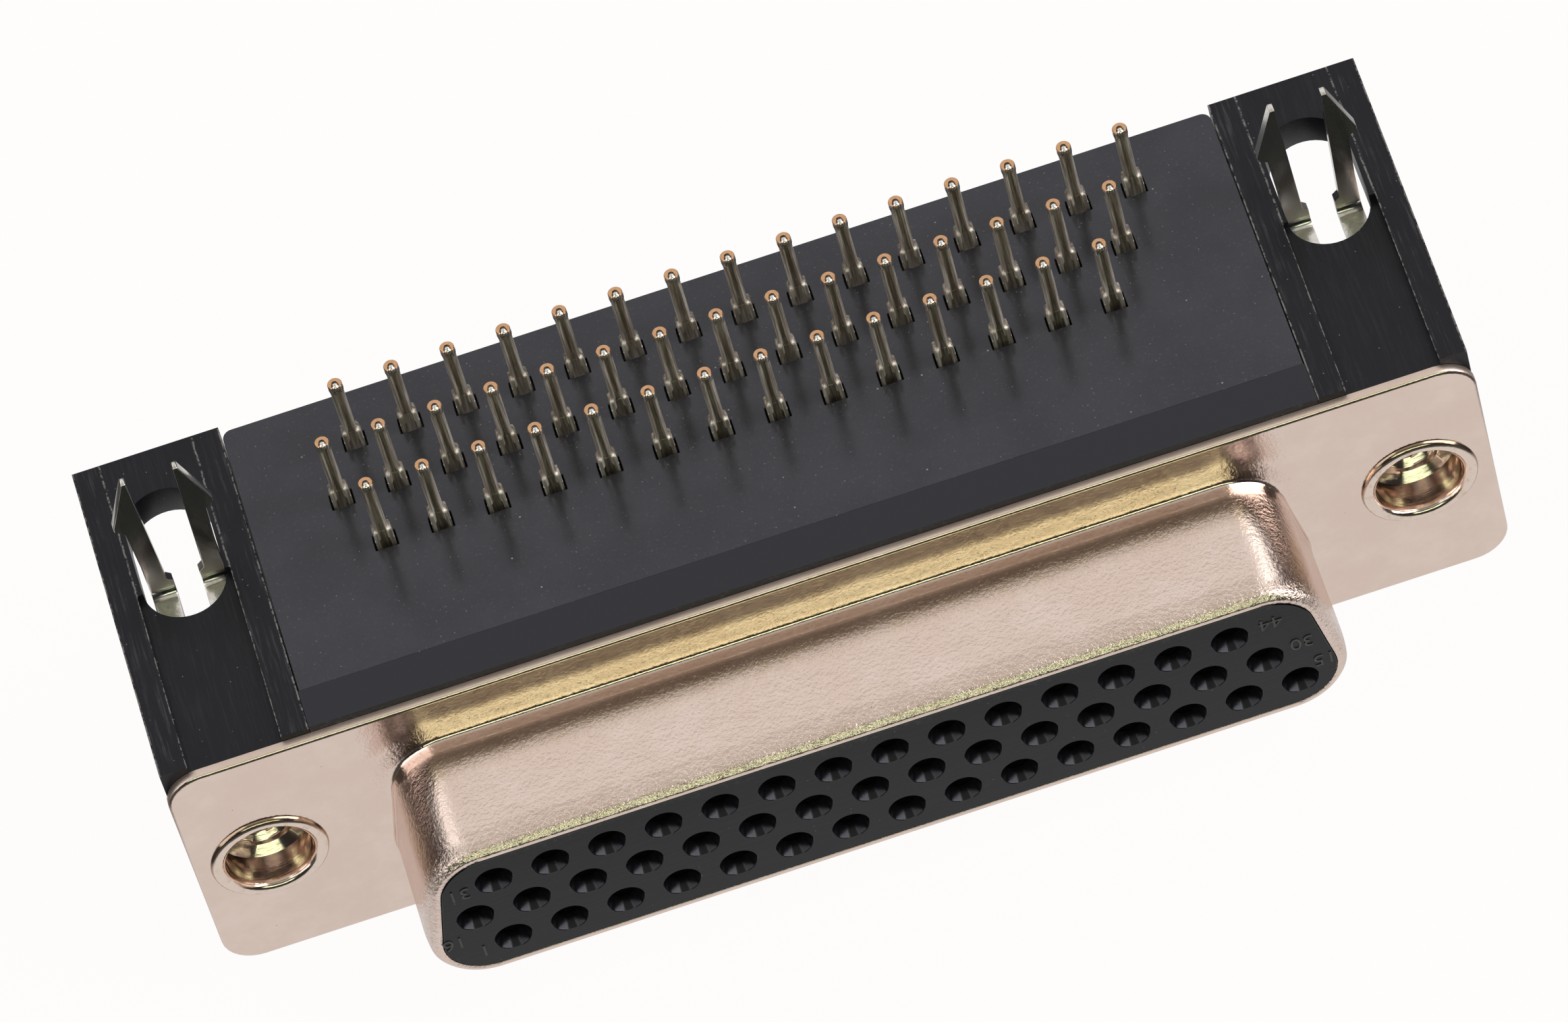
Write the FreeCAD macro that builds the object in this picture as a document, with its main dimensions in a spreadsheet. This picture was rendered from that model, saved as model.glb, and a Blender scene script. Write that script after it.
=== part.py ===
import FreeCAD, Part
import math
import os
import Sketcher

# Right-angle high-density D-sub socket: 44 contacts in a 25-size shell, for a printed board.
# Millimetres. +Z is the way the solder tails point, -Y is the way the mating face looks, +X is to the
# right in that view. The origin is the centre of the D opening, on the front face of the flange.

SIZES = [
    # Drawn sheet shell: flange, then the D-shaped collar with its curled lip.
    ("sheet_metal", 0.4, "thickness of the shell"),
    ("flange_end", 3.0, "flange beyond each screw axis"),
    ("flange_drop", 6.275, "lower edge of the flange below the axis of the opening"),
    ("board_relief", 0.325, "upper edge of the flange below the board face"),
    ("flange_corner", 1.5, "radius of the flange corners"),
    ("collar_margin", 2.5875, "wide side of the collar beyond the last contact axis, each end"),
    ("collar_height", 7.9, "outside of the collar across Z"),
    ("collar_slope", 10, "slope of the collar ends in degrees"),
    ("collar_corner", 2.5, "outside corner radius of the collar"),
    ("collar_depth", 5.87, "lip of the collar ahead of the flange"),
    ("lip_radius", 0.35, "outside radius of the curled lip"),
    ("lip_reach", 0.1, "how far the lip's cut edge stands in from the collar wall"),
    ("lip_bevel", 0.3, "bevel inside the curled lip"),
    ("draw_bevel", 0.22, "bevel between flange and collar"),
    ("screw_margin", 4.33, "screw axis beyond the wide side of the collar"),
    # Front insulator: D nose, plate behind the flange, boss inside the tail housing.
    ("nose_clear", 0.05, "gap between the nose and the lip"),
    ("nose_proud", 0.05, "mating face ahead of the lip"),
    ("plate_margin", 1.21, "plate behind the flange, beyond the collar's wide side"),
    ("plate_depth", 1.8, "thickness of that plate"),
    ("ear_reach", 1.0, "ears that the brackets clamp, beyond the plate"),
    ("ear_height", 5.0, "ears across Z"),
    ("ear_depth", 0.7, "thickness of the ears"),
    ("boss_depth", 2.4, "boss behind the plate"),
    ("boss_clear", 0.1, "gap between the boss and the housing around it"),
    ("tongue_reach", 0.7, "tongues in the housing's guide slots, beyond the boss"),
    ("tongue_depth", 1.0, "thickness of the tongues"),
    ("tongue_setback", 0.7, "tongues behind the plate"),
    ("mould_clear", 0.05, "sliding clearance between moulded pieces"),
    # Contact field.
    ("contact_pitch", 2.29, "contact to contact along a row"),
    ("row_pitch", 1.98, "row to row across Z"),
    ("row_shift", 0.25, "rows are a quarter pitch off centre"),
    ("long_row", 15, "contacts in the first and in the second row"),
    ("short_row", 14, "contacts in the third row"),
    ("entry_mouth", 1.53, "diameter of the conical entry at the face"),
    ("entry_throat", 1.03, "diameter of the conical entry at its bottom"),
    ("entry_depth", 0.56, "depth of the conical entry"),
    # One contact: U socket, bent strip, channel base with shoulders, slotted tail.
    ("contact_sheet", 0.16, "thickness of the contact strip"),
    ("socket_width", 1.1, "socket across X and Z"),
    ("socket_length", 5.2, "length of the socket"),
    ("socket_setback", 1.2, "socket behind the mating face"),
    ("contact_clear", 0.05, "gap round the socket in its cavity"),
    ("strip_width", 0.78, "strip and channel base across X"),
    ("base_depth", 0.6, "channel base across Y"),
    ("base_start", 1.3, "start of the channel base, below the board face"),
    ("shoulder_height", 0.9, "shoulders under the tail, above the board face"),
    ("tail_width", 0.58, "rolled tail across X and Y"),
    ("tail_slot", 0.2, "slot of the rolled tail"),
    ("tail_height", 3.86, "tips of the tails, above the board face"),
    ("contact_bend", 0.9, "outside bend of the strip"),
    ("tail_row", 7.87, "first tail row behind the flange face"),
    ("tail_pitch", 2.54, "tail row to tail row"),
    ("tail_clear", 0.08, "gap round a channel base in its hole"),
    # Tail housing pushed on over the tails.
    ("board_height", 6.6, "face that meets the printed board, above the axis of the opening"),
    ("block_inset", 0.03, "housing narrower than the plate, each side"),
    ("block_rear", 15.4, "rear face of the housing"),
    ("block_corner", 0.4, "rear corners of the housing"),
    ("roof", 1.6, "wall with the tail holes"),
    ("side_wall", 1.5, "side walls of the housing"),
    ("rear_wall", 1.2, "rear wall of the housing"),
    # Brackets.
    ("bracket_clear", 0.02, "gap between plate and bracket"),
    ("bracket_edge", 0.07, "bracket inside the flange end"),
    ("bracket_rear", 15.7, "rear end of the bracket"),
    ("leg_wall", 1.27, "thickness of the leg behind the flange"),
    ("foot", 1.5, "thickness of the foot at the rear"),
    ("root", 2.0, "thickness of the foot at the leg"),
    ("root_length", 6.8, "where the thick root ends, from the flange face"),
    ("root_ramp", 0.6, "length of the slope from root to foot"),
    ("rail", 1.12, "width of the two rails beside the channel"),
    ("channel_depth", 0.4, "depth of the channel in the foot"),
    ("channel_end", 9.0, "rear end of the channel"),
    ("lock_slot_width", 3.35, "width of the round-ended hole"),
    ("lock_slot_front", 7.6, "front end of that hole"),
    ("lock_slot_rear", 13.66, "rear end of that hole"),
    ("lock_inboard", 0.1, "hole and channel inboard of the screw axis"),
    ("gusset_height", 1.5, "gussets below the root, at the leg"),
    ("gusset_length", 5.2, "gussets along Y"),
    # Threaded inserts that clinch flange, bracket and board lock together.
    ("rim_width", 4.75, "outside of the rolled rim"),
    ("rim_depth", 0.2, "rim ahead of the flange"),
    ("tube_width", 4.0, "tube through flange, bracket and lock"),
    ("tube_clear", 0.03, "gap round the tube"),
    ("plain_bore", 3.4, "plain bore of the tube"),
    ("plain_depth", 1.6, "plain bore behind the flange face"),
    ("cone_depth", 0.55, "cone between plain bore and thread"),
    ("thread_bore", 2.26, "minor diameter of the 4-40 thread"),
    ("nut_width", 4.75, "across the flats of the hexagon"),
    ("nut_length", 4.5, "length of the hexagon"),
    # Board locks: bent strip with two barbed prongs.
    ("lock_sheet", 0.4, "thickness of the board lock"),
    ("lock_offset", 0.1, "prongs inboard of the middle of the hole"),
    ("lock_clear", 0.03, "least gap between the prongs and the side of the hole"),
    ("lock_eye", 5.2, "square eye of its leg, behind the bracket"),
    ("lock_bend", 0.7, "outside radius of its bends"),
    ("prong_front", 10.2, "front face of the prongs"),
    ("prong_slot", 1.07, "slot between the prongs at their root"),
    ("prong_slot_front", 8.2, "front end of that slot"),
    ("nub_height", 0.7, "nubs beside the slot, above the strip"),
    ("prong_gap", 1.5, "gap between the prongs above the nubs"),
    ("tip_gap", 1.9, "gap between the prongs at their tips"),
    ("tip_flat", 0.2, "width of a prong's tip"),
    ("prong_height", 5.4, "tips of the prongs, above the board face"),
    ("neck_width", 3.3, "outside of the prongs below the barbs"),
    ("neck_height", 2.4, "start of the barbs, above the board face"),
    ("barb_width", 4.04, "outside of the barbs"),
    ("barb_rise", 0.5, "widest point of the barbs, above their start"),
]

ROW_HALF = "((size.long_row - 1 + 2 * size.row_shift) / 2 * size.contact_pitch)"
COLLAR_HALF = f"({ROW_HALF} + size.collar_margin)"
SCREW = f"({COLLAR_HALF} + size.screw_margin)"
FLANGE_HALF = f"({SCREW} + size.flange_end)"
PLATE_HALF = f"({COLLAR_HALF} + size.plate_margin)"
BLOCK_HALF = f"({PLATE_HALF} - size.block_inset)"
PLATE_REAR = "(size.sheet_metal + size.plate_depth)"
UNDERSIDE = "(-size.flange_drop)"
FLANGE_TOP = "(size.board_height - size.board_relief)"
ROOF_UNDER = "(size.board_height - size.roof)"
FACE = "(size.collar_depth + size.nose_proud)"
OPENING_INSET = "(size.sheet_metal + size.lip_reach)"
NOSE_INSET = "(size.sheet_metal + size.lip_reach + size.nose_clear)"
LEG_REAR = "(size.sheet_metal + size.leg_wall)"
CLINCHED = "(size.sheet_metal + size.leg_wall + size.lock_sheet)"
TUBE_HOLE = "(size.tube_width / 2 + size.tube_clear)"
ROOT_UNDER = "(size.board_height - size.root)"
NUB_TOP = f"({ROOT_UNDER} + size.nub_height)"
NECK = "(size.board_height + size.neck_height)"
BARB = f"({NECK} + size.barb_rise)"
PRONG_TIP = "(size.board_height + size.prong_height)"
SHOULDER = "(size.board_height + size.shoulder_height)"
BASE_START = "(size.board_height - size.base_start)"
LOCK_X = f"({SCREW} - size.lock_inboard - size.lock_offset)"
LOCK_WIDTH = "(size.lock_slot_width - 2 * size.lock_offset - 2 * size.lock_clear)"

NEAR = 0.001
ENTRY_SIDES = 8

doc = FreeCAD.newDocument("d_sub_socket")
size = doc.addObject("Spreadsheet::Sheet", "size")


def fill_sheet():
    """Write each driving size with its meaning and its alias."""
    for row, (alias, number, meaning) in enumerate(SIZES, 1):
        size.set(f"A{row}", meaning)
        size.set(f"B{row}", str(number))
        size.setAlias(f"B{row}", alias)
    doc.recompute()


def value(expression):
    """Number that an expression gives with the sizes of the sheet."""
    return float(size.evalExpression(expression))


def new_body(label):
    body = doc.addObject("PartDesign::Body", label)
    body.Label = label
    return body


def origin(body, role):
    """One of the body's own planes or axes, such as XZ_Plane."""
    return next(item for item in body.Origin.OriginFeatures if item.Role == role)


def attach(body, item, plane, across="0", up="0", out="0"):
    """Lay an item on a plane of its body, moved by three expressions in the plane's own axes."""
    item.AttachmentSupport = [(origin(body, plane), "")]
    item.MapMode = "FlatFace"
    for axis, expression in zip("xyz", (across, up, out)):
        if expression != "0":
            item.setExpression(f"AttachmentOffset.Base.{axis}", expression)


def new_sketch(body, plane, out="0"):
    sketch = body.newObject("Sketcher::SketchObject", "Sketch")
    attach(body, sketch, plane, out=out)
    return sketch


def pin_point(sketch, edge, end, expressions):
    """Hold one end of an edge at a place given by two expressions."""
    for kind, axis, expression in zip(("DistanceX", "DistanceY"), (-2, -1), expressions):
        if expression == "0":
            sketch.addConstraint(Sketcher.Constraint("PointOnObject", edge, end, axis))
            continue
        rule = Sketcher.Constraint(kind, -1, 1, edge, end, value(expression))
        index = sketch.addConstraint(rule)
        sketch.setExpression(f"Constraints[{index}]", expression)


def polygon(sketch, corners, construction=False):
    """Closed outline of straight edges, each corner given by two expressions."""
    first = sketch.GeometryCount
    points = [FreeCAD.Vector(value(a), value(b), 0) for a, b in corners]
    count = len(points)
    for i, point in enumerate(points):
        sketch.addGeometry(Part.LineSegment(point, points[(i + 1) % count]), construction)
    for i in range(count):
        after = first + (i + 1) % count
        sketch.addConstraint(Sketcher.Constraint("Coincident", first + i, 2, after, 1))
    for i, corner in enumerate(corners):
        pin_point(sketch, first + i, 1, corner)
    return first


def set_radius(sketch, edge, expression):
    rule = Sketcher.Constraint("Radius", edge, value(expression))
    index = sketch.addConstraint(rule)
    sketch.setExpression(f"Constraints[{index}]", expression)


def rounded(sketch, corners, radius):
    """Outline with rounded corners, drawn anticlockwise on its sharp outline as construction."""
    frame = polygon(sketch, corners, construction=True)
    points = [FreeCAD.Vector(value(a), value(b), 0) for a, b in corners]
    count = len(points)
    reach = value(radius)
    rounds = []
    for i, here in enumerate(points):
        back = (points[i - 1] - here).normalize()
        ahead = (points[(i + 1) % count] - here).normalize()
        half = back.getAngle(ahead) / 2
        run = reach / math.tan(half)
        centre = here + (back + ahead).normalize() * (reach / math.sin(half))
        middle = centre + (here - centre).normalize() * reach
        rounds.append((here + back * run, middle, here + ahead * run))
    lines = sketch.GeometryCount
    for i in range(count):
        sketch.addGeometry(Part.LineSegment(rounds[i][2], rounds[(i + 1) % count][0]))
    arcs = sketch.GeometryCount
    for start, middle, end in rounds:
        sketch.addGeometry(Part.Arc(start, middle, end))
    for i in range(count):
        line = lines + i
        after = arcs + (i + 1) % count
        sketch.addConstraint(Sketcher.Constraint("Tangent", arcs + i, 2, line, 1))
        sketch.addConstraint(Sketcher.Constraint("Tangent", line, 2, after, 1))
        sketch.addConstraint(Sketcher.Constraint("PointOnObject", line, 1, frame + i))
        sketch.addConstraint(Sketcher.Constraint("PointOnObject", line, 2, frame + i))
        set_radius(sketch, arcs + i, radius)


def rectangle(x_from, x_to, y_from, y_to):
    """Corners of a rectangle, anticlockwise when each pair rises."""
    return [(x_from, y_from), (x_to, y_from), (x_to, y_to), (x_from, y_to)]


def circle(sketch, place, radius):
    centre = FreeCAD.Vector(value(place[0]), value(place[1]), 0)
    edge = sketch.addGeometry(Part.Circle(centre, FreeCAD.Vector(0, 0, 1), value(radius)))
    pin_point(sketch, edge, 3, place)
    set_radius(sketch, edge, radius)


def slot(sketch, middle, radius, front, rear):
    """Round-ended slot along the sketch's second axis, between two end points."""
    x, reach = value(middle), value(radius)
    low, high = value(front) + reach, value(rear) - reach
    point = FreeCAD.Vector
    right = sketch.addGeometry(Part.LineSegment(point(x + reach, low, 0), point(x + reach, high, 0)))
    left = sketch.addGeometry(Part.LineSegment(point(x - reach, high, 0), point(x - reach, low, 0)))
    top = Part.Arc(point(x + reach, high, 0), point(x, high + reach, 0), point(x - reach, high, 0))
    bottom = Part.Arc(point(x - reach, low, 0), point(x, low - reach, 0), point(x + reach, low, 0))
    top = sketch.addGeometry(top)
    bottom = sketch.addGeometry(bottom)
    sketch.addConstraint(Sketcher.Constraint("Tangent", right, 2, top, 1))
    sketch.addConstraint(Sketcher.Constraint("Tangent", top, 2, left, 1))
    sketch.addConstraint(Sketcher.Constraint("Tangent", left, 2, bottom, 1))
    sketch.addConstraint(Sketcher.Constraint("Tangent", bottom, 2, right, 1))
    sketch.addConstraint(Sketcher.Constraint("Vertical", right))
    sketch.addConstraint(Sketcher.Constraint("Vertical", left))
    set_radius(sketch, bottom, radius)
    pin_point(sketch, bottom, 3, (middle, f"{front} + {radius}"))
    index = sketch.addConstraint(Sketcher.Constraint("DistanceY", -1, 1, top, 3, high))
    sketch.setExpression(f"Constraints[{index}]", f"{rear} - {radius}")


def pad(body, sketch, length, reverse=False, symmetric=False):
    feature = body.newObject("PartDesign::Pad", "Pad")
    feature.Profile = sketch
    feature.setExpression("Length", length)
    feature.Reversed = reverse
    feature.SideType = "Symmetric" if symmetric else "One side"
    doc.recompute()
    return feature


def checked_cut(feature, before):
    """Recompute a cut and make sure that it took material away."""
    doc.recompute()
    if feature.Shape.Volume >= before:
        raise RuntimeError(f"{feature.Label} cut nothing")
    return feature


def pocket(body, sketch, length, reverse=False, symmetric=False):
    before = body.Tip.Shape.Volume
    feature = body.newObject("PartDesign::Pocket", "Pocket")
    feature.Profile = sketch
    feature.setExpression("Length", length)
    feature.Reversed = reverse
    feature.SideType = "Symmetric" if symmetric else "One side"
    return checked_cut(feature, before)


def round_edges(body, radius, test):
    """Round the edges of the body's last feature whose boxes pass a test."""
    base = body.Tip
    edges = [f"Edge{i}" for i, edge in enumerate(base.Shape.Edges, 1) if test(edge.BoundBox)]
    feature = body.newObject("PartDesign::Fillet", "Rounding")
    feature.Base = (base, edges)
    feature.setExpression("Radius", radius)
    doc.recompute()
    return feature


def bevel_edges(body, width, test):
    """Bevel the edges of the body's last feature whose boxes pass a test."""
    base = body.Tip
    edges = [f"Edge{i}" for i, edge in enumerate(base.Shape.Edges, 1) if test(edge.BoundBox)]
    feature = body.newObject("PartDesign::Chamfer", "Bevel")
    feature.Base = (base, edges)
    feature.setExpression("Size", width)
    doc.recompute()
    return feature


def within(low, high, least, most):
    """True if a stretch of a box lies between two numbers, to a thousandth."""
    return low > least - NEAR and high < most + NEAR


def row_of(body, originals, count):
    """Repeat cuts along X at the contact pitch."""
    before = body.Tip.Shape.Volume
    feature = body.newObject("PartDesign::LinearPattern", "Row")
    feature.Originals = originals
    feature.Direction = (origin(body, "X_Axis"), [""])
    feature.setExpression("Length", f"size.contact_pitch * ({count} - 1)")
    feature.setExpression("Occurrences", count)
    body.Tip = feature
    return checked_cut(feature, before)


class Row:
    """One row of contacts: how many, the first one's number, height, first X and tail place."""

    def __init__(self, order, count, number, shift):
        self.count = count
        self.number = number
        self.height = f"(size.row_pitch * {order - 1})"
        self.start = f"(size.contact_pitch * ({shift} * size.row_shift - (size.long_row - 1) / 2))"
        self.tail = f"(size.tail_row + size.tail_pitch * {2 - order})"
        self.web = f"({self.height} - size.socket_width / 2)"


def contact_rows():
    """Rows from the wide side of the D up; the tails of the first one are the rearmost."""
    second = int(value("size.long_row")) + 1
    third = second + int(value("size.long_row"))
    return [
        Row(0, "size.long_row", 1, 1),
        Row(1, "size.long_row", second, -1),
        Row(2, "size.short_row", third, 1),
    ]


def d_corners(inset):
    """Sharp corners of the D, drawn in from the outside of the collar by an inset."""
    half = f"(size.collar_height / 2 - {inset})"
    draw_in = f"{inset} * (tan(size.collar_slope) + 1 / cos(size.collar_slope))"
    wide = f"({COLLAR_HALF} - {draw_in})"
    narrow = f"({wide} - 2 * {half} * tan(size.collar_slope))"
    return [(f"-{wide}", f"-{half}"), (wide, f"-{half}"), (narrow, half), (f"-{narrow}", half)]


def d_sketch(body, inset, out):
    """Rounded D on a plane parallel to the flange, out being measured ahead of the flange face."""
    sketch = new_sketch(body, "XZ_Plane", out)
    rounded(sketch, d_corners(inset), f"(size.collar_corner - {inset})")
    return sketch


def front_shell():
    """Drawn shell: flat flange, D collar with a radius at its root and a curled, cut lip."""
    body = new_body("front_shell")
    sketch = new_sketch(body, "XZ_Plane")
    flange = rectangle(f"-{FLANGE_HALF}", FLANGE_HALF, UNDERSIDE, FLANGE_TOP)
    rounded(sketch, flange, "size.flange_corner")
    pad(body, sketch, "size.sheet_metal", reverse=True)
    pad(body, d_sketch(body, "0", "0"), "size.collar_depth")
    front, metal = -value("size.collar_depth"), value("size.sheet_metal")
    wide, tall = value(COLLAR_HALF), value("size.collar_height / 2")

    def loop_at(plane):
        """Edges of the D that lie in one plane parallel to the flange."""
        return lambda box: (within(box.YMin, box.YMax, plane, plane)
                            and within(box.XMin, box.XMax, -wide, wide)
                            and within(box.ZMin, box.ZMax, -tall, tall))

    round_edges(body, "size.lip_radius", loop_at(front))
    hollow = d_sketch(body, "size.sheet_metal", "-size.sheet_metal")
    pocket(body, hollow, "size.collar_depth", reverse=True)
    bevel_edges(body, "size.lip_bevel", loop_at(front + metal))
    opening = d_sketch(body, OPENING_INSET, "-size.sheet_metal")
    pocket(body, opening, "size.collar_depth + 2 * size.sheet_metal", reverse=True)
    bevel_edges(body, "size.draw_bevel", loop_at(0))
    sketch = new_sketch(body, "XZ_Plane")
    circle(sketch, (SCREW, "0"), TUBE_HOLE)
    circle(sketch, (f"-{SCREW}", "0"), TUBE_HOLE)
    pocket(body, sketch, "size.sheet_metal")
    return body


def cavities(body):
    """Square cavities from the boss's rear to the conical entries, one for each contact."""
    for row in contact_rows():
        before = body.Tip.Shape.Volume
        cavity = body.newObject("PartDesign::SubtractiveBox", "Cavity")
        cavity.setExpression("Length", "size.socket_width + 2 * size.contact_clear")
        cavity.setExpression("Width", "size.socket_width + size.contact_clear")
        cavity.setExpression("Height", f"{FACE} - size.entry_depth + {PLATE_REAR} + size.boss_depth")
        side = f"{row.start} - size.socket_width / 2 - size.contact_clear"
        attach(body, cavity, "XZ_Plane", side, row.web, f"-{PLATE_REAR} - size.boss_depth")
        checked_cut(cavity, before)
        row_of(body, [cavity], row.count)


def funnel(x, z):
    """Frustum of one entry, with flat sides so that the whole field of them stays light."""
    rings = []
    face = -value(FACE)
    bottom = face + value("size.entry_depth")
    for y, across in ((face, "size.entry_mouth"), (bottom, "size.entry_throat")):
        reach = value(across) / 2
        turns = [2 * math.pi * (i + 0.5) / ENTRY_SIDES for i in range(ENTRY_SIDES)]
        rings.append([FreeCAD.Vector(x + reach * math.cos(a), y, z + reach * math.sin(a)) for a in turns])
    outlines = [ring + ring[:1] for ring in rings]
    for i in range(ENTRY_SIDES):
        after = (i + 1) % ENTRY_SIDES
        outlines.append([rings[0][i], rings[0][after], rings[1][after], rings[1][i], rings[0][i]])
    faces = [Part.Face(Part.makePolygon(outline)) for outline in outlines]
    return Part.makeSolid(Part.makeShell(faces))


def entries():
    """All entries of the mating face as one cutting shape."""
    funnels = []
    for row in contact_rows():
        x, z = value(row.start), value(row.height)
        for index in range(int(value(row.count))):
            funnels.append(funnel(x + index * value("size.contact_pitch"), z))
    cutter = doc.addObject("Part::Feature", "entries")
    cutter.Shape = Part.makeCompound(funnels)
    return cutter


def front_insulator():
    """Moulding that holds every contact: nose in the collar, plate, clamped ears, boss with tongues."""
    body = new_body("front_insulator_blank")
    half = PLATE_HALF
    sketch = new_sketch(body, "XZ_Plane", "-size.sheet_metal")
    polygon(sketch, rectangle(f"-{half}", half, UNDERSIDE, "size.board_height"))
    pad(body, sketch, "size.plate_depth", reverse=True)
    nose = d_sketch(body, NOSE_INSET, "-size.sheet_metal")
    pad(body, nose, f"size.sheet_metal + {FACE}")
    sketch = new_sketch(body, "XZ_Plane", "-size.sheet_metal")
    reach = f"({half} + size.ear_reach)"
    polygon(sketch, rectangle(f"-{reach}", reach, "-size.ear_height / 2", "size.ear_height / 2"))
    pad(body, sketch, "size.ear_depth", reverse=True)
    low, high = f"{UNDERSIDE} + size.boss_clear", f"{ROOF_UNDER} - size.boss_clear"
    boss = f"({BLOCK_HALF} - size.side_wall - size.boss_clear)"
    sketch = new_sketch(body, "XZ_Plane", f"-{PLATE_REAR}")
    polygon(sketch, rectangle(f"-{boss}", boss, low, high))
    pad(body, sketch, "size.boss_depth", reverse=True)
    tongue = f"({boss} + size.tongue_reach)"
    sketch = new_sketch(body, "XZ_Plane", f"-{PLATE_REAR} - size.tongue_setback")
    polygon(sketch, rectangle(f"-{tongue}", tongue, low, high))
    pad(body, sketch, "size.tongue_depth", reverse=True)
    cavities(body)
    insulator = doc.addObject("Part::Cut", "front_insulator")
    insulator.Base = body
    insulator.Tool = entries()
    return checked_cut(insulator, body.Shape.Volume)


def tail_housing():
    """Cover pushed on over the tails: roof with a hole for each, side and rear walls, open below."""
    body = new_body("tail_housing")
    sketch = new_sketch(body, "XY_Plane", UNDERSIDE)
    polygon(sketch, rectangle(f"-{BLOCK_HALF}", BLOCK_HALF, PLATE_REAR, "size.block_rear"))
    pad(body, sketch, f"size.board_height - {UNDERSIDE}")
    rear = value("size.block_rear")
    round_edges(body, "size.block_corner",
                lambda box: within(box.YMin, box.YMax, rear, rear) and box.XLength < NEAR)
    wall = f"({BLOCK_HALF} - size.side_wall)"
    groove = f"({wall} - size.boss_clear + size.tongue_reach + size.mould_clear)"
    near = f"({PLATE_REAR} + size.tongue_setback - size.mould_clear)"
    far = f"({near} + size.tongue_depth + 2 * size.mould_clear)"
    back = "(size.block_rear - size.rear_wall)"
    sketch = new_sketch(body, "XY_Plane", UNDERSIDE)
    right = [(wall, PLATE_REAR), (wall, near), (groove, near), (groove, far), (wall, far), (wall, back)]
    left = [(f"-{x}", y) for x, y in reversed(right)]
    polygon(sketch, right + left)
    pocket(body, sketch, f"{ROOF_UNDER} - {UNDERSIDE}", reverse=True)
    for row in contact_rows():
        before = body.Tip.Shape.Volume
        hole = body.newObject("PartDesign::SubtractiveBox", "TailHole")
        hole.setExpression("Length", "size.strip_width + 2 * size.tail_clear")
        hole.setExpression("Width", "size.base_depth + 2 * size.tail_clear")
        hole.setExpression("Height", "size.roof")
        side = f"{row.start} - size.strip_width / 2 - size.tail_clear"
        front = f"{row.tail} - size.base_depth / 2 - size.tail_clear"
        attach(body, hole, "XY_Plane", side, front, ROOF_UNDER)
        checked_cut(hole, before)
        row_of(body, [hole], row.count)
    return body


def bracket(label, side):
    """L-shaped bracket: leg behind the flange, foot with a channel and a round-ended hole, gussets."""
    body = new_body(label)
    inner = f"({PLATE_HALF} + size.bracket_clear)"
    outer = f"({FLANGE_HALF} - size.bracket_edge)"
    leftward = side < 0
    sketch = new_sketch(body, "YZ_Plane", f"{side} * {inner}")
    foot_under = "(size.board_height - size.foot)"
    profile = [
        ("size.sheet_metal", UNDERSIDE),
        (LEG_REAR, UNDERSIDE),
        (LEG_REAR, ROOT_UNDER),
        ("size.root_length", ROOT_UNDER),
        ("size.root_length + size.root_ramp", foot_under),
        ("size.bracket_rear", foot_under),
        ("size.bracket_rear", "size.board_height"),
        ("size.sheet_metal", "size.board_height"),
    ]
    polygon(sketch, profile)
    pad(body, sketch, f"{outer} - {inner}", reverse=leftward)
    end, low = value(f"{side} * {outer}"), value(UNDERSIDE)
    round_edges(body, "size.flange_corner",
                lambda box: within(box.XMin, box.XMax, end, end) and within(box.ZMin, box.ZMax, low, low))
    for start in (inner, f"({outer} - size.rail)"):
        sketch = new_sketch(body, "YZ_Plane", f"{side} * {start}")
        tip = (f"{LEG_REAR} + size.gusset_length", ROOT_UNDER)
        polygon(sketch, [(LEG_REAR, f"{ROOT_UNDER} - size.gusset_height"), tip, (LEG_REAR, ROOT_UNDER)])
        pad(body, sketch, "size.rail", reverse=leftward)
    sketch = new_sketch(body, "XY_Plane", "size.board_height")
    edges = [f"{side} * ({inner} + size.rail)", f"{side} * ({outer} - size.rail)"]
    low, high = edges[::side]
    polygon(sketch, rectangle(low, high, "size.sheet_metal", "size.channel_end"))
    pocket(body, sketch, "size.channel_depth")
    sketch = new_sketch(body, "XY_Plane", "size.board_height")
    middle = f"{side} * ({SCREW} - size.lock_inboard)"
    slot(sketch, middle, "size.lock_slot_width / 2", "size.lock_slot_front", "size.lock_slot_rear")
    pocket(body, sketch, "size.root")
    sketch = new_sketch(body, "XZ_Plane", f"-{LEG_REAR}")
    circle(sketch, (f"{side} * {SCREW}", "0"), TUBE_HOLE)
    pocket(body, sketch, "size.leg_wall", reverse=True)
    sketch = new_sketch(body, "XZ_Plane", "-size.sheet_metal")
    ear = f"({PLATE_HALF} + size.ear_reach + size.mould_clear)"
    edges = [f"{side} * {inner}", f"{side} * {ear}"]
    low, high = edges[::side]
    half = "(size.ear_height / 2 + size.mould_clear)"
    polygon(sketch, rectangle(low, high, f"-{half}", half))
    pocket(body, sketch, "size.ear_depth")
    return body


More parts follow.
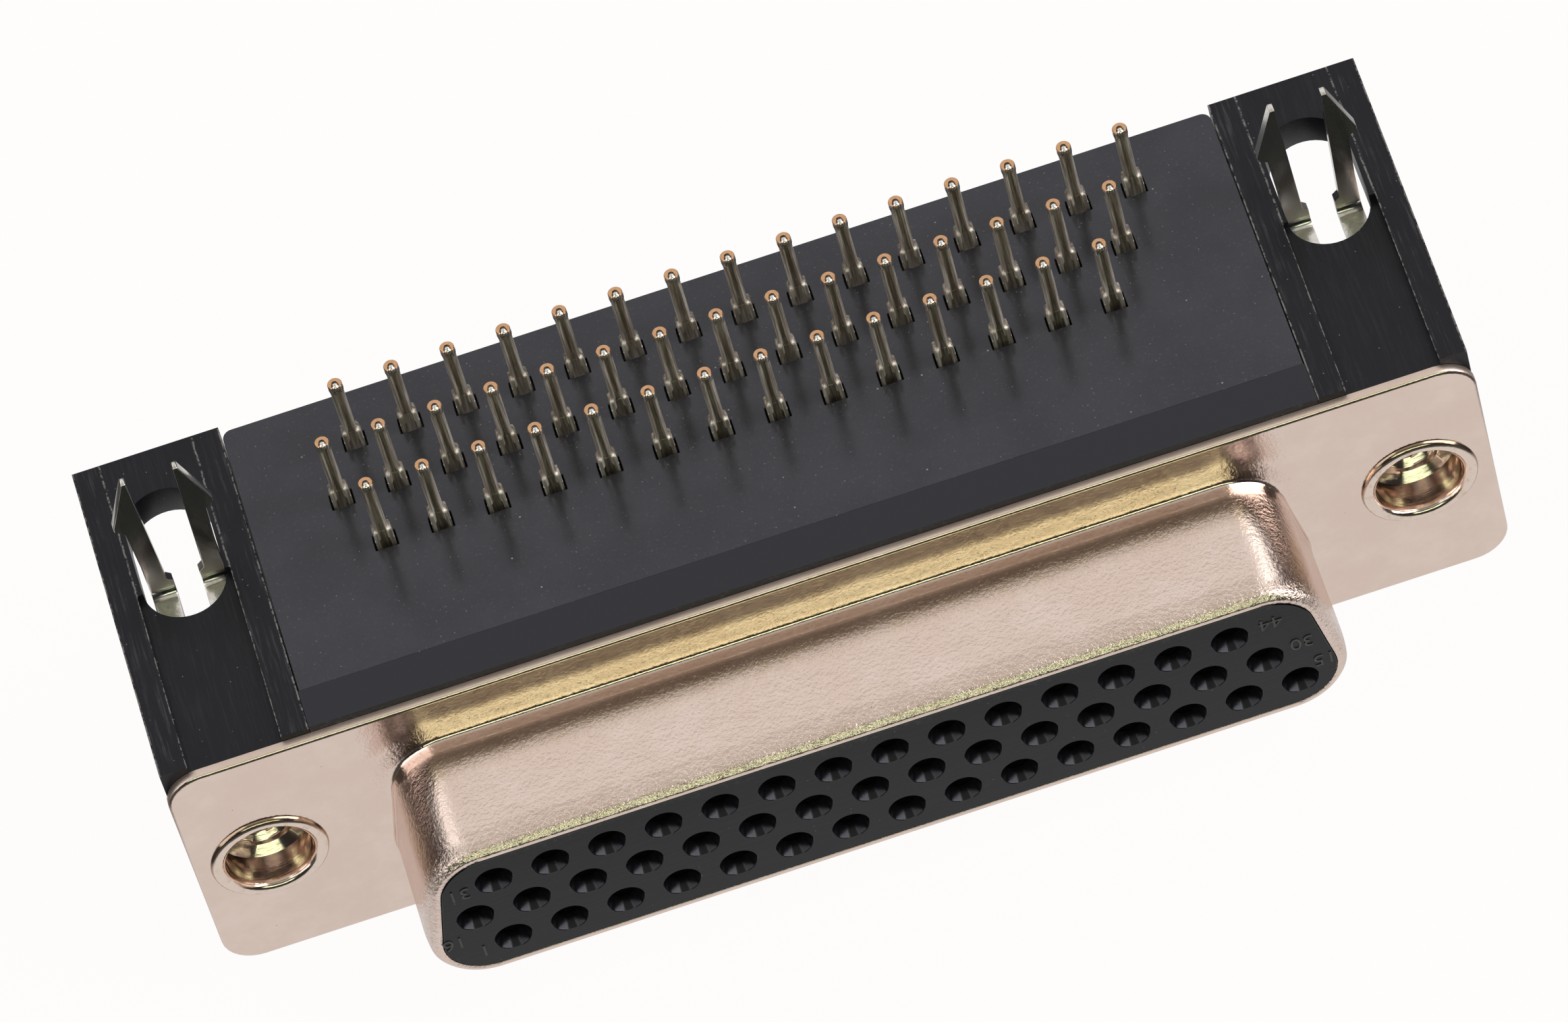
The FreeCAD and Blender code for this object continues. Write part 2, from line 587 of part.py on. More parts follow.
def insert(label, side):
    """Clinched insert: rolled rim, tube through the three sheets, hexagon behind, threaded bore."""
    body = new_body(label)
    flat = "(size.nut_width / 2)"
    corner = "(size.nut_width / 2 / cos(30))"
    sketch = new_sketch(body, "XZ_Plane", f"-{CLINCHED}")
    half = f"({corner} / 2)"
    polygon(sketch, [(corner, "0"), (half, flat), (f"-{half}", flat), (f"-{corner}", "0"),
                     (f"-{half}", f"-{flat}"), (half, f"-{flat}")])
    pad(body, sketch, "size.nut_length", reverse=True)
    sketch = new_sketch(body, "XY_Plane")
    rim, tube = "(size.rim_width / 2)", "(size.tube_width / 2)"
    polygon(sketch, [
        ("0", "-size.rim_depth"),
        (rim, "-size.rim_depth"),
        (rim, "0"),
        (tube, "0"),
        (tube, CLINCHED),
        ("0", CLINCHED),
    ])
    turned = body.newObject("PartDesign::Revolution", "Tube")
    turned.Profile = sketch
    turned.ReferenceAxis = (origin(body, "Y_Axis"), [""])
    turned.Angle = 360
    doc.recompute()
    bore, thread = "(size.plain_bore / 2)", "(size.thread_bore / 2)"
    end = f"({CLINCHED} + size.nut_length)"
    before = body.Tip.Shape.Volume
    sketch = new_sketch(body, "XY_Plane")
    polygon(sketch, [
        ("0", "-size.rim_depth"),
        (bore, "-size.rim_depth"),
        (bore, "size.plain_depth"),
        (thread, "size.plain_depth + size.cone_depth"),
        (thread, end),
        ("0", end),
    ])
    cut = body.newObject("PartDesign::Groove", "Bore")
    cut.Profile = sketch
    cut.ReferenceAxis = (origin(body, "Y_Axis"), [""])
    cut.Angle = 360
    checked_cut(cut, before)
    body.setExpression("Placement.Base.x", f"{side} * {SCREW}")
    return body


def prong(sign):
    """Outline of one barbed prong, from the root at the slot round to the outside."""
    def at(x, z):
        return (f"{sign} * ({x})", z)
    tip = "size.tip_gap / 2"
    root = f"{ROOT_UNDER} - size.lock_sheet + size.lock_bend"
    points = [
        at("size.prong_slot / 2", root),
        at(f"{LOCK_WIDTH} / 2", root),
        at(f"{LOCK_WIDTH} / 2", "size.board_height"),
        at("size.neck_width / 2", NECK),
        at("size.barb_width / 2", f"{BARB} - size.tip_flat"),
        at("size.barb_width / 2", BARB),
        at(f"{tip} + size.tip_flat", PRONG_TIP),
        at(tip, PRONG_TIP),
        at("size.prong_gap / 2", f"{NUB_TOP} + size.tip_flat"),
        at("size.prong_slot / 2", NUB_TOP),
    ]
    return points[::sign]


def board_lock(label, side):
    """Bent strip: leg clinched behind the bracket, run under its foot, two barbed prongs up the hole."""
    body = new_body(label)
    sketch = new_sketch(body, "YZ_Plane")
    leg_front, leg_rear = LEG_REAR, CLINCHED
    prong_rear = "(size.prong_front + size.lock_sheet)"
    run_under = f"({ROOT_UNDER} - size.lock_sheet)"
    polygon(sketch, [
        (leg_front, "0"),
        (leg_rear, "0"),
        (leg_rear, run_under),
        (prong_rear, run_under),
        (prong_rear, NUB_TOP),
        ("size.prong_front", NUB_TOP),
        ("size.prong_front", ROOT_UNDER),
        (leg_front, ROOT_UNDER),
    ])
    pad(body, sketch, LOCK_WIDTH, symmetric=True)

    def bend_at(*places):
        """Edges across the strip that lie at one of these places in Y and Z."""
        spots = [(value(y), value(z)) for y, z in places]
        return lambda box: any(within(box.YMin, box.YMax, y, y) and within(box.ZMin, box.ZMax, z, z)
                               for y, z in spots)

    outside = bend_at((leg_front, ROOT_UNDER), (prong_rear, run_under))
    inside = bend_at((leg_rear, run_under), ("size.prong_front", ROOT_UNDER))
    round_edges(body, "size.lock_bend", outside)
    round_edges(body, "size.lock_bend - size.lock_sheet", inside)
    half = "size.prong_slot / 2"
    sketch = new_sketch(body, "XY_Plane", NUB_TOP)
    polygon(sketch, rectangle(f"-{half}", half, "size.prong_slot_front", prong_rear))
    pocket(body, sketch, "size.nub_height + size.lock_sheet")
    sketch = new_sketch(body, "XZ_Plane", "-size.prong_front")
    for sign in (-1, 1):
        polygon(sketch, prong(sign))
    pad(body, sketch, "size.lock_sheet", reverse=True)
    eye = f"({side} * ({SCREW} - {LOCK_X}))"
    reach = "size.lock_eye / 2"
    sketch = new_sketch(body, "XZ_Plane", f"-{leg_rear}")
    polygon(sketch, rectangle(f"{eye} - {reach}", f"{eye} + {reach}", f"-{reach}", reach))
    pad(body, sketch, "size.lock_sheet")
    sketch = new_sketch(body, "XZ_Plane", f"-{leg_rear}")
    circle(sketch, (eye, "0"), TUBE_HOLE)
    pocket(body, sketch, "size.lock_sheet", reverse=True)
    body.setExpression("Placement.Base.x", f"{side} * {LOCK_X}")
    return body


def u_section(width, depth, wall):
    """Corners of a U that opens upwards in its sketch, standing on the first axis."""
    half, inside = f"({width} / 2)", f"({width} / 2 - {wall})"
    return [(f"-{half}", "0"), (half, "0"), (half, depth), (inside, depth), (inside, wall),
            (f"-{inside}", wall), (f"-{inside}", depth), (f"-{half}", depth)]


def first_contact(row):
    """First contact of a row: strip with its bend, U socket in front, channel base, slotted tail."""
    body = new_body(f"contact_{row.number:02d}")
    sheet = "size.contact_sheet"
    socket_front = f"(size.socket_setback - {FACE})"
    back = f"({row.tail} + size.base_depth / 2)"
    bend = "size.contact_bend"
    inner_bend = f"({bend} - (2 - sqrt(2)) * {sheet})"
    sketch = new_sketch(body, "YZ_Plane")
    polygon(sketch, [
        (socket_front, row.web),
        (f"{back} - {bend}", row.web),
        (back, f"{row.web} + {bend}"),
        (back, SHOULDER),
        (f"{back} - {sheet}", SHOULDER),
        (f"{back} - {sheet}", f"{row.web} + {sheet} + {inner_bend}"),
        (f"{back} - {sheet} - {inner_bend}", f"{row.web} + {sheet}"),
        (socket_front, f"{row.web} + {sheet}"),
    ])
    pad(body, sketch, "size.strip_width", symmetric=True)
    sketch = new_sketch(body, "XZ_Plane", f"-{socket_front}")
    socket = u_section("size.socket_width", "size.socket_width", sheet)
    polygon(sketch, [(x, row.web if z == "0" else f"{row.web} + {z}") for x, z in socket])
    pad(body, sketch, "size.socket_length", reverse=True)
    sketch = new_sketch(body, "XY_Plane", BASE_START)
    channel = u_section("size.strip_width", "size.base_depth", sheet)
    polygon(sketch, [(x, back if y == "0" else f"{back} - {y}") for x, y in channel])
    pad(body, sketch, "size.shoulder_height + size.base_start")
    sketch = new_sketch(body, "XY_Plane", SHOULDER)
    half, gap = "(size.tail_width / 2)", "(size.tail_slot / 2)"
    rear, front = f"({row.tail} + {half})", f"({row.tail} - {half})"
    right = [(gap, f"{rear} - {sheet}"), (gap, front), (half, front), (half, rear)]
    polygon(sketch, right + [(f"-{x}", y) for x, y in reversed(right)])
    pad(body, sketch, "size.tail_height - size.shoulder_height")
    body.setExpression("Placement.Base.x", row.start)
    return body


def contact_copy(row, original, index):
    """Same contact again, further along its row."""
    body = new_body(f"contact_{row.number + index:02d}")
    clone = doc.addObject("PartDesign::FeatureBase", "Clone")
    body.Group = [clone]
    clone.BaseFeature = original
    body.Tip = clone
    body.setExpression("Placement.Base.x", f"{row.start} + {index} * size.contact_pitch")
    doc.recompute()
    return body


def contacts():
    bodies = []
    for row in contact_rows():
        original = first_contact(row)
        bodies.append(original)
        for index in range(1, int(value(row.count))):
            bodies.append(contact_copy(row, original, index))
    return bodies


def check(bodies):
    """Stop if any object failed or any sub-part is empty or not valid."""
    for item in doc.Objects:
        if "Invalid" in item.State or "Error" in item.State:
            raise RuntimeError(f"{item.Label}: {item.State}")
    for body in bodies:
        if body.Shape.isNull() or not body.Shape.isValid() or len(body.Shape.Solids) != 1:
            raise RuntimeError(f"{body.Label} is not one valid solid")


def main():
    fill_sheet()
    bodies = [front_shell(), front_insulator(), tail_housing()]
    for name, side in (("left", -1), ("right", 1)):
        bodies.append(bracket(f"bracket_{name}", side))
        bodies.append(insert(f"insert_{name}", side))
        bodies.append(board_lock(f"board_lock_{name}", side))
    bodies += contacts()
    doc.recompute()
    check(bodies)
    os.makedirs("parts", exist_ok=True)
    for body in bodies:
        body.Shape.exportStep(os.path.join("parts", f"{body.Label}.step"))


main()
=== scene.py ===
from math import atan2, cos, degrees, pi, radians, sin

import bmesh
import bpy
from mathutils import Matrix, Vector


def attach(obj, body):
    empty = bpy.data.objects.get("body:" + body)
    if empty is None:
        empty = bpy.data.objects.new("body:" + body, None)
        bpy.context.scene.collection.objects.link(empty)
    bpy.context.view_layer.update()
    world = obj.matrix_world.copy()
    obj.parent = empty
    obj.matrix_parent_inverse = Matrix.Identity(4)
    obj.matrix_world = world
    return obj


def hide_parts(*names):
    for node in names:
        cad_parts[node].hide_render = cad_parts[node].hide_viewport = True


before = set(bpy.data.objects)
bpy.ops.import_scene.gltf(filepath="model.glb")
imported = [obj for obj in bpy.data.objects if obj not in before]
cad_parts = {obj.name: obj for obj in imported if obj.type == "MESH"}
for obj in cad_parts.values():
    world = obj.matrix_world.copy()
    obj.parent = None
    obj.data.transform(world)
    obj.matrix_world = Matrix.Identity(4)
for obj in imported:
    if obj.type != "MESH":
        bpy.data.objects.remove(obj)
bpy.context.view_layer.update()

# Drawn shell. Steel sheet, cupped into the D collar and punched open, then satin nickel-plated.
# The draw leaves a fine pebbled grain, coarser where the metal stretched, and a smooth ironed band
# at the root of the collar. Sizes are in millimetres, as in every section but the last.

SHEET = 0.4
FLANGE_HALF_WIDTH, FLANGE_HALF_HEIGHT, FLANGE_CORNER = 26.52, 6.275, 1.5
DIE_ROLL = 0.16
COLLAR_HALF_HEIGHT, COLLAR_HALF_WIDTH = 3.95, 18.494
COLLAR_SLOPE, COLLAR_CORNER = 10, 2.5
LIP_START, LIP_END, LIP_LEAN, LIP_FRONT, OPENING_INSET = -4.65, -5.545, 0.09, -5.87, 0.53
LIP_ARCS = ((0.25, 38), (1.5, 48), (0.08, 90))
ROOT_RADIUS, DISH_REACH, DISH_DEPTH = 0.22, 1.5, 0.12
IRONED_STEP, IRONED_END, IRONED_FADE = 0.015, -0.62, 0.14
LIP_INSIDE = ((OPENING_INSET, LIP_FRONT + 0.3), (SHEET + 0.02, LIP_FRONT + 0.42), (SHEET, LIP_FRONT + 0.6))
HOLE_CLEARANCE, EDGE_BREAK, BURR = 0.03, 0.02, 0.03
SCREW_X, TUBE_RADIUS = 23.52, 2.0


class Value:
    """A number that varies over a surface. Arithmetic on it adds the shader's Math nodes."""

    def __init__(self, finish, socket):
        self.finish = finish
        self.socket = socket

    def maths(self, operation, *operands):
        node = self.finish.node("ShaderNodeMath", dict(enumerate(operands)), operation=operation)
        return Value(self.finish, node.outputs[0])

    def __add__(self, other):
        return self.maths("ADD", self, other)

    def __sub__(self, other):
        return self.maths("SUBTRACT", self, other)

    def __rsub__(self, other):
        return self.maths("SUBTRACT", other, self)

    def __mul__(self, other):
        return self.maths("MULTIPLY", self, other)

    __radd__ = __add__
    __rmul__ = __mul__

    def size(self):
        return self.maths("ABSOLUTE", self)

    def between(self, low, high):
        """0 below low, 1 above high, eased in between. With low above high it falls instead."""
        node = self.finish.node(
            "ShaderNodeMapRange",
            {"Value": self, "From Min": low, "From Max": high},
            interpolation_type="SMOOTHSTEP",
        )
        return Value(self.finish, node.outputs["Result"])


class Shading:
    """Nodes of one material or of the surroundings."""

    def __init__(self, tree):
        self.tree = tree
        tree.nodes.clear()

    def node(self, kind, sockets, **settings):
        """Add a node: its settings first, then each socket's value or link."""
        node = self.tree.nodes.new(kind)
        for name, setting in settings.items():
            setattr(node, name, setting)
        for key, value in sockets.items():
            if isinstance(value, Value):
                value = value.socket
            if isinstance(value, bpy.types.NodeSocket):
                self.tree.links.new(value, node.inputs[key])
            elif isinstance(value, tuple) and node.inputs[key].type == "RGBA":
                node.inputs[key].default_value = (*value, 1.0)
            else:
                node.inputs[key].default_value = value
        return node


class Finish(Shading):
    """A material under construction. Positions in it are in millimetres on the object."""

    def __init__(self, name, **shader_values):
        self.material = bpy.data.materials.new(name)
        self.material.use_nodes = True
        super().__init__(self.material.node_tree)
        self.shader = self.node("ShaderNodeBsdfPrincipled", {
            key.replace("_", " "): value for key, value in shader_values.items()
        })
        self.output = self.node("ShaderNodeOutputMaterial", {"Surface": self.shader.outputs[0]})
        place = self.node("ShaderNodeTexCoord", {}).outputs["Object"]
        self.place = self.vector("SCALE", place, scale=1000)
        split = self.node("ShaderNodeSeparateXYZ", {0: self.place})
        self.x, self.y, self.z = (Value(self, split.outputs[i]) for i in range(3))
        facing = self.node("ShaderNodeNewGeometry", {}).outputs["Normal"]
        split = self.node("ShaderNodeSeparateXYZ", {0: facing})
        self.facing_y = Value(self, split.outputs["Y"])

    def vector(self, operation, first, second=None, scale=None):
        sockets = {0: first}
        if second is not None:
            sockets[1] = second
        if scale is not None:
            sockets["Scale"] = scale
        return self.node("ShaderNodeVectorMath", sockets, operation=operation).outputs[0]

    def noise(self, per_mm, detail=2.0, roughness=0.5, stretch=(1, 1, 1), shift=0.0):
        """Cloudy value from 0 to 1 with so many features to a millimetre."""
        where = self.vector("MULTIPLY_ADD", self.place, stretch)
        where.node.inputs[2].default_value = (shift, shift, shift)
        node = self.node("ShaderNodeTexNoise", {
            "Vector": where, "Scale": per_mm, "Detail": detail, "Roughness": roughness,
        })
        return Value(self, node.outputs[0])

    def specks(self, per_mm, radius, share=1.0, shift=0.0):
        """1 on small round specks scattered at random, 0 elsewhere."""
        where = self.vector("ADD", self.place, (shift, shift, shift))
        node = self.node("ShaderNodeTexVoronoi", {"Vector": where, "Scale": per_mm})
        chosen = self.node("ShaderNodeSeparateColor", {0: node.outputs["Color"]}).outputs[0]
        near = Value(self, node.outputs["Distance"]).between(radius, radius * 0.6)
        return near * Value(self, chosen).between(share, share * 0.9)

    def blend(self, factor, first, second):
        """Colour that goes from first to second with a factor."""
        node = self.node("ShaderNodeMix", {0: factor, 6: first, 7: second}, data_type="RGBA")
        return node.outputs[2]

    def bump(self, height, depth_mm, under=None):
        """Normal of a relief whose height of 1 stands depth_mm high."""
        sockets = {"Height": height, "Distance": depth_mm / 1000, "Strength": 1.0}
        if under is not None:
            sockets["Normal"] = under
        return self.node("ShaderNodeBump", sockets).outputs[0]

    def paint(self, **links):
        for key, value in links.items():
            name = key.replace("_", " ")
            socket = value.socket if isinstance(value, Value) else value
            self.tree.links.new(socket, self.shader.inputs[name])


def d_ring(inset, y, steps=20):
    """Points of the rounded D at a depth, drawn in from the outside of the collar."""
    slope = radians(COLLAR_SLOPE)
    side = COLLAR_HALF_WIDTH * cos(slope) - COLLAR_CORNER
    reach = COLLAR_CORNER - inset
    points = []
    for right, up, first, last in ((1, 1, COLLAR_SLOPE, 90), (-1, 1, 90, 180 - COLLAR_SLOPE),
                                   (-1, -1, 180 - COLLAR_SLOPE, 270), (1, -1, 270, 360 + COLLAR_SLOPE)):
        centre_z = up * (COLLAR_HALF_HEIGHT - COLLAR_CORNER)
        centre_x = right * (side - centre_z * sin(slope)) / cos(slope)
        for i in range(steps + 1):
            angle = radians(first + (last - first) * i / steps)
            points.append((centre_x + reach * cos(angle), y, centre_z + reach * sin(angle)))
    return points


def box_ring(half_x, half_z, corner, y, steps=8):
    """Points of a rectangle with rounded corners, in the plane at depth y."""
    points = []
    for k, (right, up) in enumerate(((1, 1), (-1, 1), (-1, -1), (1, -1))):
        for i in range(steps + 1):
            angle = radians(90 * (k + i / steps))
            points.append((right * (half_x - corner) + corner * cos(angle), y,
                           up * (half_z - corner) + corner * sin(angle)))
    return points


def circle_ring(centre_x, radius, y, steps=48, centre_z=0.0):
    return [(centre_x + radius * cos(2 * pi * i / steps), y, centre_z + radius * sin(2 * pi * i / steps))
            for i in range(steps)]


def add_ring(mesh, points):
    return [mesh.verts.new(point) for point in points]


def skin(mesh, rings, closed=False):
    """Faces between each ring of points and the next."""
    pairs = list(zip(rings, rings[1:]))
    if closed:
        pairs.append((rings[-1], rings[0]))
    for ring, after in pairs:
        count = len(ring)
        for i in range(count):
            j = (i + 1) % count
            mesh.faces.new((ring[i], ring[j], after[j], after[i]))


def flat_fill(mesh, rings):
    """Flat sheet between an outer ring and the rings inside it."""
    edges = []
    for ring in rings:
        for i, vertex in enumerate(ring):
            after = ring[(i + 1) % len(ring)]
            edges.append(mesh.edges.get((vertex, after)) or mesh.edges.new((vertex, after)))
    bmesh.ops.triangle_fill(mesh, edges=edges, use_beauty=True, use_dissolve=False)


def arc(centre, radius, first, last, steps):
    """Points (inset, y) of an arc in the sheet's section. 0 degrees faces outwards, 90 to the front."""
    for i in range(steps + 1):
        angle = radians(first + (last - first) * i / steps)
        yield centre[0] - radius * cos(angle), centre[1] - radius * sin(angle)


def piece(name, mesh, finish, replaced=(), smooth=35):
    """Object from a mesh in millimetres, riding on the part."""
    bmesh.ops.recalc_face_normals(mesh, faces=mesh.faces)
    mesh.transform(Matrix.Scale(0.001, 4))
    data = bpy.data.meshes.new(name)
    mesh.to_mesh(data)
    mesh.free()
    data.shade_smooth()
    data.set_sharp_from_angle(angle=radians(smooth))
    item = bpy.data.objects.new(name, data)
    bpy.context.scene.collection.objects.link(item)
    weights = item.modifiers.new("weights", "WEIGHTED_NORMAL")
    weights.keep_sharp = True
    item.data.materials.append(finish.material)
    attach(item, "root")
    if replaced:
        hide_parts(*replaced)
    return item


def sheet_section():
    """Outside of the sheet from the flange to the cut lip, then its inside back to the rear face."""
    outside = []
    for i in range(9):
        reach = DISH_REACH + (ROOT_RADIUS - DISH_REACH) * i / 8
        rise = ((DISH_REACH - reach) / (DISH_REACH - ROOT_RADIUS)) ** 2
        outside.append((-reach, -DISH_DEPTH * rise))
    tilt = degrees(atan2(2 * DISH_DEPTH, DISH_REACH - ROOT_RADIUS))
    for i in range(1, 9):
        angle = radians(tilt + (90 - tilt) * i / 8)
        outside.append((-ROOT_RADIUS * (1 - sin(angle)) - IRONED_STEP,
                        -DISH_DEPTH - ROOT_RADIUS * (1 - cos(angle))))
    for i in range(7):
        ease = i / 6
        outside.append((-IRONED_STEP * (1 - ease * ease * (3 - 2 * ease)),
                        IRONED_END - IRONED_FADE * ease))
    wall_start = IRONED_END - IRONED_FADE
    for i in range(1, 5):
        outside.append((0, wall_start + (LIP_START - wall_start) * i / 5))
    for i in range(8):
        y = LIP_START + (LIP_END - LIP_START) * i / 8
        outside.append((LIP_LEAN * (y - LIP_START) ** 2, y))
    angle = degrees(2 * LIP_LEAN * (LIP_START - LIP_END))
    inset, y = LIP_LEAN * (LIP_END - LIP_START) ** 2, LIP_END
    for radius, end in LIP_ARCS:
        middle = (inset + radius * cos(radians(angle)), y + radius * sin(radians(angle)))
        outside.extend(arc(middle, radius, angle, end, 5))
        inset, y = outside.pop()
        angle = end
    outside.append((inset, LIP_FRONT))
    outside.extend(((OPENING_INSET - BURR, LIP_FRONT), (OPENING_INSET, LIP_FRONT + BURR)))
    inside = list(LIP_INSIDE)
    inside.extend(arc((-ROOT_RADIUS, -ROOT_RADIUS), -(ROOT_RADIUS + SHEET), 0, 90, 6))
    return outside, inside


mesh = bmesh.new()
outside, inside = sheet_section()
collar_rings = [add_ring(mesh, d_ring(inset, y)) for inset, y in outside + inside]
skin(mesh, collar_rings)
flange_rings = []
for i in range(6):
    angle = radians(90 * i / 5)
    inset, y = DIE_ROLL * (1 - sin(angle)), DIE_ROLL * (1 - cos(angle))
    flange_rings.append(add_ring(mesh, box_ring(
        FLANGE_HALF_WIDTH - inset, FLANGE_HALF_HEIGHT - inset, FLANGE_CORNER - inset, y)))
for inset, y in ((0, SHEET - EDGE_BREAK), (EDGE_BREAK, SHEET)):
    flange_rings.append(add_ring(mesh, box_ring(
        FLANGE_HALF_WIDTH - inset, FLANGE_HALF_HEIGHT - inset, FLANGE_CORNER - inset, y)))
skin(mesh, flange_rings)
front_holes, rear_holes = [], []
for x in (-SCREW_X, SCREW_X):
    hole = [add_ring(mesh, circle_ring(x, TUBE_RADIUS + HOLE_CLEARANCE, y)) for y in (0, SHEET)]
    skin(mesh, hole)
    front_holes.append(hole[0])
    rear_holes.append(hole[1])
flat_fill(mesh, [flange_rings[0], collar_rings[0], *front_holes])
flat_fill(mesh, [flange_rings[-1], collar_rings[-1], *rear_holes])

nickel = Finish("shell_nickel", Metallic=1.0)
grain = nickel.noise(6.5, 3.0, 0.6)
waves = nickel.noise(1.1, 2.0, 0.5, shift=3.0)
at_lip = nickel.y.between(-4.9, -5.4) * nickel.y.between(LIP_FRONT - 0.01, LIP_FRONT + 0.03)
on_collar = nickel.y.between(-0.6, -0.9)
by_root = nickel.y.between(-0.003, -0.05) * nickel.y.between(-0.16, -0.09)
at_ends = nickel.x.size().between(16.4, 17.4) * on_collar
edge = nickel.y.between(0.02, 0.1)
coarse = on_collar * 0.4 + by_root * 0.9 + at_lip * 1.6 + at_ends * 1.2 + 0.4
relief = nickel.bump(grain * coarse, 0.02)
relief = nickel.bump(waves * (on_collar * 0.7 + 0.3), 0.014, relief)
cloud = nickel.noise(0.5, 4.0, 0.6, shift=11.0)
rust = nickel.specks(1.3, 0.06, 0.12, shift=2.0)
tone = nickel.blend(cloud.between(0.35, 0.75), (0.81, 0.65, 0.565), (0.86, 0.705, 0.63))
tone = nickel.blend(rust * 0.8, tone, (0.62, 0.33, 0.14))
nickel.paint(Base_Color=tone, Normal=relief, Roughness=cloud * 0.05 + edge * 0.4 + on_collar * 0.05 + 0.07)
piece("drawn_shell", mesh, nickel, ["front_shell"], smooth=50)

# Front insulator. One black glass-filled moulding: the D nose with its 44 conical entries, the plate
# behind the flange and a boss inside the tail housing. The face shows fine brushed striations, and
# six numerals stand on it beside the first and last contact of each row.

NOSE_INSET, NOSE_FACE, NOSE_EDGE, NOSE_BACK = 0.56, -5.88, 0.03, -0.3
PITCH, ROW_PITCH = 2.29, 1.98
ENTRY_MOUTH, ENTRY_THROAT, ENTRY_DEPTH, ENTRY_END = 0.765, 0.5, 0.56, 3.2
ROWS = {1: (15, -6.75, -1), 16: (15, -7.25, 0), 31: (14, -6.75, 1)}
NUMERALS = {"31": (-16.93, 1.78), "16": (-17.72, -1.23), "1": (-16.69, -2.24),
            "44": (15.98, 2.28), "30": (16.99, 0.42), "15": (17.71, -1.07)}
NUMERAL_SIZE, NUMERAL_RISE, NUMERAL_EDGE = 0.98, 0.038, 0.014
MOULD_EDGE, WELD_DISTANCE = 0.05, 0.002


def entry_places():
    for number, (count, first, level) in ROWS.items():
        for i in range(count):
            yield (first + i) * PITCH, level * ROW_PITCH


def mould_copy(node, bevel, cut=None):
    """Mesh of a moulded node in millimetres, its flat faces made whole and its sharp edges eased."""
    mesh = bmesh.new()
    mesh.from_mesh(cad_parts[node].data)
    mesh.transform(Matrix.Scale(1000, 4))
    bmesh.ops.remove_doubles(mesh, verts=mesh.verts, dist=WELD_DISTANCE)
    bmesh.ops.dissolve_limit(mesh, angle_limit=radians(1), verts=mesh.verts, edges=mesh.edges)
    if cut is not None:
        geometry = mesh.verts[:] + mesh.edges[:] + mesh.faces[:]
        made = bmesh.ops.bisect_plane(mesh, geom=geometry, dist=0.001, plane_co=(0, cut, 0),
                                      plane_no=(0, -1, 0), clear_outer=True)
        rim = [item for item in made["geom_cut"] if isinstance(item, bmesh.types.BMEdge)]
        bmesh.ops.triangle_fill(mesh, edges=rim, use_beauty=True)
    if bevel:
        sharp = [edge for edge in mesh.edges
                 if len(edge.link_faces) == 2 and edge.calc_face_angle(0) > radians(50)]
        bmesh.ops.bevel(mesh, geom=sharp, offset=bevel, segments=2, profile=0.5, affect="EDGES",
                        clamp_overlap=True)
    return mesh


def numeral(mesh, digits, x, z):
    """Raised digits on the face, upside down when the part lies with its tails up."""
    curve = bpy.data.curves.new("digits", "FONT")
    curve.body = digits
    curve.size = NUMERAL_SIZE
    curve.align_x, curve.align_y = "CENTER", "CENTER"
    curve.extrude = NUMERAL_RISE - NUMERAL_EDGE
    curve.bevel_depth = NUMERAL_EDGE
    curve.offset = -NUMERAL_EDGE
    shape = bpy.data.objects.new("digits", curve)
    data = bpy.data.meshes.new_from_object(shape)
    data.transform(Matrix(((-1, 0, 0, x), (0, 0, -1, NOSE_FACE), (0, -1, 0, z), (0, 0, 0, 1))))
    mesh.from_mesh(data)
    bpy.data.objects.remove(shape)
    bpy.data.meshes.remove(data)


mesh = bmesh.new()
nose_rings = [add_ring(mesh, d_ring(NOSE_INSET + inset, y)) for inset, y in (
    (NOSE_EDGE, NOSE_FACE), (0, NOSE_FACE + NOSE_EDGE), (0, NOSE_BACK))]
skin(mesh, nose_rings)
mouths = []
for x, z in entry_places():
    rings = [add_ring(mesh, circle_ring(x, radius, NOSE_FACE + depth, 40, z)) for radius, depth in (
        (ENTRY_MOUTH, 0), (ENTRY_MOUTH - EDGE_BREAK, EDGE_BREAK), (ENTRY_THROAT, ENTRY_DEPTH),
        (ENTRY_THROAT, ENTRY_END))]
    skin(mesh, rings)
    mesh.faces.new(rings[-1])
    mouths.append(rings[0])
flat_fill(mesh, [nose_rings[0], *mouths])
mesh.faces.new(nose_rings[-1])
for digits, (x, z) in NUMERALS.items():
    numeral(mesh, digits, x, z)

insulator_black = Finish("insulator_black", Specular_IOR_Level=0.35, Specular_Tint=(0.9, 0.91, 1.0))
on_face = insulator_black.facing_y.between(-0.9, -0.98)
in_nose = insulator_black.y.between(-0.5, -1.0)
throat_start = NOSE_FACE + ENTRY_DEPTH
# Painted shade: the throats of the entries beyond the cones are painted near black, standing in for the shade
# deep in the holes.
painted_throat_shade = insulator_black.y.between(throat_start - 0.02, throat_start + 0.25) * in_nose
striation = insulator_black.noise(6, 5.0, 0.7, stretch=(0.05, 1, 1.5))
fine = insulator_black.noise(18, 3.0, 0.6)
dust = insulator_black.specks(3.2, 0.09, 0.16) * on_face
rim = insulator_black.noise(5, 3.0, 0.7, shift=5.0).between(0.52, 0.7) * on_face * (
    insulator_black.z.between(2.9, 3.36) + insulator_black.x.size().between(17.9, 18.6))
# Painted highlight: the raised numerals are painted paler than the face, standing in for the highlights on
# their relief.
painted_numeral_highlight = insulator_black.y.between(NOSE_FACE - 0.01, NOSE_FACE - 0.03)
tone = insulator_black.blend(in_nose, (0.019, 0.019, 0.024), (0.006, 0.006, 0.008))
tone = insulator_black.blend(striation.between(0.35, 0.75) * on_face, tone, (0.017, 0.017, 0.019))
tone = insulator_black.blend(dust * 0.5 + rim * 0.12 + painted_numeral_highlight * 0.18, tone, (0.30, 0.27, 0.25))
# Painted shade: near black in the throats of the entries.
tone = insulator_black.blend(painted_throat_shade, tone, (0.001, 0.001, 0.001))
